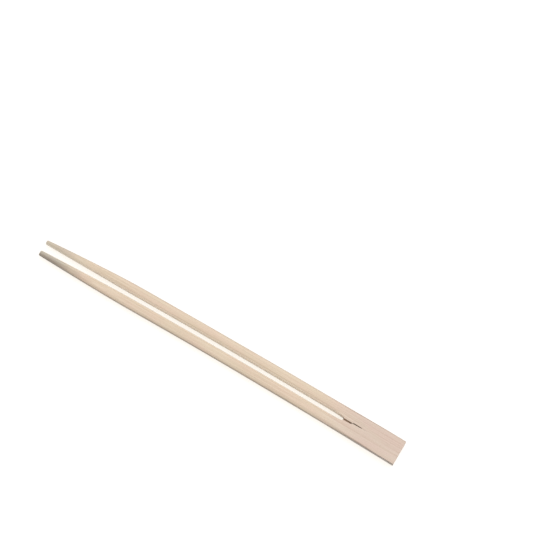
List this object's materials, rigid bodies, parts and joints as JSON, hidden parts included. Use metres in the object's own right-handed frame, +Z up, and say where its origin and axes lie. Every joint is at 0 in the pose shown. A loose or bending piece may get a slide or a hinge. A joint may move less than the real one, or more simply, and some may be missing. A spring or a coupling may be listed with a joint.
{
  "type": "bamboo chopsticks",
  "caption": "Disposable bamboo chopsticks milled from a flat slat, tapering to blunt round tips and still joined at a square head, with a short split running on from the slot.",
  "frame": {"origin": "on the table under the middle of the pair's box, as it lies flat", "axes": "+X along the grain from the tips to the joined head, +Y across the pair towards the side it bows to, +Z up through the thickness"},
  "size_m": [0.203, 0.0138, 0.0048],
  "materials": {
    "bamboo": "pale raw bamboo, milled and tumbled, matte with a faint sheen along the fibre"
  },
  "bodies": {
    "root": {"chopstick_pair": "bamboo"}
  },
  "joints": []
}
